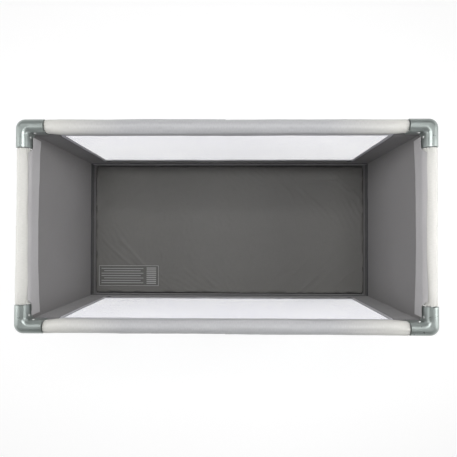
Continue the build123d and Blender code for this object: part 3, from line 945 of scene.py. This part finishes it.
def mattress_cord():
    """The corded seam round the mattress, half way up, as a closed loop."""
    z = (MAT_LOW + MAT_HIGH) / 2
    r, x, y = MAT_CORNER, MAT_X + CORD_OUT, MAT_Y + CORD_OUT
    points = []
    for sx, sy, first in ((1, -1, -90), (1, 1, 0), (-1, 1, 90), (-1, -1, 180)):
        for turn in steps(first, first + 90, 18):
            a = math.radians(turn)
            points.append(Vector((sx * (x - r) + r * math.cos(a), sy * (y - r) + r * math.sin(a), z)))
    return tube("mattress_cord", points, CORD_R, closed=True)


def woven_bars(bm, bars, half_height, top):
    """Flat raised bars of thread, each given by its middle's x and y and its half length."""
    for x, y, half_length in bars:
        place = Matrix.Translation((x, y, top + 0.0009))
        place = place @ Matrix.Diagonal((half_length, half_height, 0.0003, 1))
        bmesh.ops.create_cube(bm, size=2, matrix=place)


def patch_bars(top):
    """Seven long bars of uneven length on the left, and a block of nine short ones on the right."""
    (x0, y0), (x1, y1) = PATCH_LOW, PATCH_HIGH
    long_bars = []
    for i in range(7):
        y = y1 - 0.012 - i * (y1 - y0 - 0.024) / 6
        start = x0 + 0.010 + (0.012 if i % 3 == 1 else 0)
        end = x1 - 0.066 - 0.012 * (i % 2)
        long_bars.append(((start + end) / 2, y, (end - start) / 2))
    short_bars = [(x1 - 0.031, y1 - 0.010 - i * (y1 - y0 - 0.020) / 8, 0.021) for i in range(9)]
    bm = bmesh.new()
    woven_bars(bm, long_bars, 0.0014, top)
    woven_bars(bm, short_bars, 0.0022, top)
    bmesh.ops.bevel(bm, geom=bm.edges[:], offset=0.0001, segments=1, affect="EDGES")
    return dress(add_bmesh("patch_bars", bm), "thread")


def make_patch(top):
    """The plain care patch on the mattress: an outlined rectangle with woven bars, and no lettering."""
    (x0, y0), (x1, y1) = PATCH_LOW, PATCH_HIGH
    patch = surface("mattress_patch", steps(x0, x1, 0.008), steps(y0, y1, 0.008),
                    lambda x, y: Vector((x, y, top + 0.0004)))
    thicken(patch, 0.0006, "patch")
    corners = ((x0, y0), (x1, y0), (x1, y1), (x0, y1), (x0, y0))
    outline = [Vector(corner + (top + 0.0007,)) for corner in corners]
    border = dress(tube("patch_border", outline, 0.0012), "thread")
    bars = patch_bars(top)
    for obj in (patch, border, bars):
        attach(obj, "mattress_1")


def make_mattress():
    """The cover is made in one piece, so that nothing shows at its seams until it folds."""
    low, high = MAT_LOW + COVER_THIN, MAT_HIGH - COVER_THIN
    box = (-MAT_X, -MAT_Y, low), (MAT_X, MAT_Y, high)
    cover = rounded_box("mattress_cover", *box, MAT_CORNER, COVER_EDGE)
    settle_cover(cover, low, high)
    for v in cover.data.vertices:
        x, y, z = v.co
        if z > (low + high) / 2:
            inside = ramp(min(MAT_X - abs(x), MAT_Y - abs(y)), 0.0, 0.04)
            v.co.z += inside * (0.0009 * wobble(x * 5, y * 5, 2.0) + 0.0004 * wobble(x * 16, y * 14, 6.0))
        v.co.z = max(v.co.z, MAT_LOW + COVER_CLEAR)
    cord = mattress_cord()
    for obj in (cover, cord):
        for v in obj.data.vertices:
            v.co.y += MAT_PUSH * max(0.0, v.co.y) / MAT_Y
    width = 2 * MAT_X / 4
    for number in range(1, 5):
        left = -MAT_X + (number - 1) * width
        pad = cut_panel(cover, f"mattress_pad_{number}", left, left + width)
        piping = cut_panel(cord, f"mattress_cord_{number}", left, left + width)
        for obj in (pad, piping):
            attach(obj, f"mattress_{number}")
        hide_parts(f"mattress_panel_{number}")
    bpy.data.objects.remove(cover)
    bpy.data.objects.remove(cord)
    make_patch(max(v.co.z for v in bpy.data.objects["mattress_pad_1"].data.vertices))


# ---- floor and strap ----
def make_floor():
    base = low_of("floor_quarter_front_left").z
    reach_x = high_of("floor_quarter_back_right").x
    reach_y = high_of("floor_quarter_back_right").y
    seam = low_of("floor_quarter_back_right").x
    slit_x, slit_y = 0.006, 0.019  # the cloth leaves the floor's middle open for the strap
    rise, sag_share = 0.0009, 0.3
    for body, (corner, sx, sy) in CORNERS.items():
        def point(x, y):
            sag = 0.0010 * wobble(x * 8 * sx, y * 8 * sy, 3.0) - 0.0006
            edge = ramp(min(x - seam, reach_x - x, y - seam, reach_y - y), 0, 0.03)
            return Vector((sx * x, sy * y, base + rise + min(0.0, sag) * sag_share * edge))

        quarter = surface(f"{corner}_floor_cloth", stops(0.02, seam, slit_x, reach_x),
                          stops(0.02, seam, slit_y, reach_y), point,
                          keep=lambda x, y: not (x < slit_x and y < slit_y))
        thicken(quarter, 0.001, "floor")
        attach(quarter, f"base_tube_{body}")
        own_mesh(quarter)
        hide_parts(f"floor_quarter_{corner}")


def make_strap():
    low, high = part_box("pull_strap")
    half_x, half_y = (high[0] - low[0]) / 2, (high[1] - low[1]) / 2
    base = high[2] - 0.003

    def point(u, v):
        """A flat loop: out along the top and back along the bottom, with rounded ends."""
        length = 4 * half_y
        t = (v % length) / length
        angle = 2 * math.pi * t
        y = (half_y - 0.0014) * max(-1, min(1, 1.06 * math.cos(angle)))
        z = base + 0.0015 + 0.00095 * max(-1, min(1, 8 * math.sin(angle)))
        return Vector((u, y, z))

    loop = surface("pull_strap_loop", steps(-half_x, half_x, 0.003), steps(0, 4 * half_y, 0.004), point)
    thicken(loop, 0.0009, "strap")
    across = half_x * 0.95
    tail = surface("pull_strap_tail", steps(-across, across, 0.003), steps(0, 0.0018, 0.0009),
                   lambda u, v: Vector((0, u, base - 0.0012 + v)))
    thicken(tail, 0.0026, "strap")
    turns = ((-1, -1), (1, -1), (1, 1), (-1, 1), (-1, -1), (1, 1))
    path = [Vector((x * half_x * 0.7, y * 0.012, base + 0.0031)) for x, y in turns]
    box = stitches("pull_strap_box", path, Vector((0, 0, 1)))
    for obj in (loop, tail, box):
        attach(obj, "hub")
    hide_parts("pull_strap")


# ---- studio ----
def make_stage():
    mesh = bpy.data.meshes.new("studio_floor")
    half = 30.0
    corners = [(-half, -half, 0), (half, -half, 0), (half, half, 0), (-half, half, 0)]
    mesh.from_pydata(corners, [], [(0, 1, 2, 3)])
    floor = add_object("studio_floor", mesh)
    s = Surface("studio_white", 0.9, Emission_Strength=0.8, Emission_Color=(1, 1, 1, 1),
                Specular_IOR_Level=0.1)
    tone = s.noise(s.place, 0.7, 2)
    s.colour(s.mix(tone, (0.26, 0.26, 0.26, 1), (0.30, 0.30, 0.30, 1)))
    floor.data.materials.append(s.material)


def area_light(name, place, target, size, energy, spread=180):
    light = bpy.data.lights.new(name, "AREA")
    light.shape = "RECTANGLE"
    light.size, light.size_y = size
    light.energy = energy
    light.spread = math.radians(spread)
    obj = add_object(name, light)
    obj.location = place
    obj.rotation_euler = (Vector(target) - Vector(place)).to_track_quat("-Z", "Y").to_euler()


def make_world():
    """A pale studio: bright near the horizon at the cot's ends, dimmer overhead, in front and behind."""
    world = bpy.data.worlds.new("studio")
    world.use_nodes = True
    sky = Nodes(world.node_tree)
    background = sky.tree.nodes["Background"].inputs
    parts = sky.node("SeparateXYZ", Vector=sky.coords.outputs["Generated"]).outputs
    by_height = sky.spread(parts["Z"], 0.05, 0.55, 1.0, 0.08)
    by_end = sky.spread(sky.math("ABSOLUTE", parts["X"]), 0.25, 0.85, 0.25, 1.15)
    sky.feed(background["Color"], (1, 1, 1, 1))
    sky.feed(background["Strength"], sky.math("MULTIPLY", by_height, by_end))
    bpy.context.scene.world = world


def make_light():
    area_light("overhead", (0.0, 0.65, 3.45), (0, 0, 0.4), (2.2, 1.0), 46)
    area_light("left_soft", (-2.0, 0.0, 1.5), (-0.9, 0, 0.5), (1.0, 2.0), 6.6, 96)
    area_light("right_soft", (2.0, 0.0, 1.5), (0.9, 0, 0.5), (1.0, 2.0), 7.2, 80)
    bpy.context.scene.view_settings.view_transform = "Standard"


def make_camera():
    camera = bpy.data.cameras.new("camera")
    camera.lens = 36.55
    camera.sensor_width = 36.0
    obj = add_object("camera", camera)
    obj.location = (0.034, -0.029, 2.120)
    obj.rotation_euler = tuple(math.radians(a) for a in (0.95, 1.01, 0.14))
    bpy.context.scene.camera = obj


make_camera()
make_world()
make_light()
make_stage()
dress_cad()
make_sleeves()
make_side_walls()
make_end_walls()
make_pockets()
make_mattress()
make_floor()
make_strap()

bpy.context.view_layer.update()
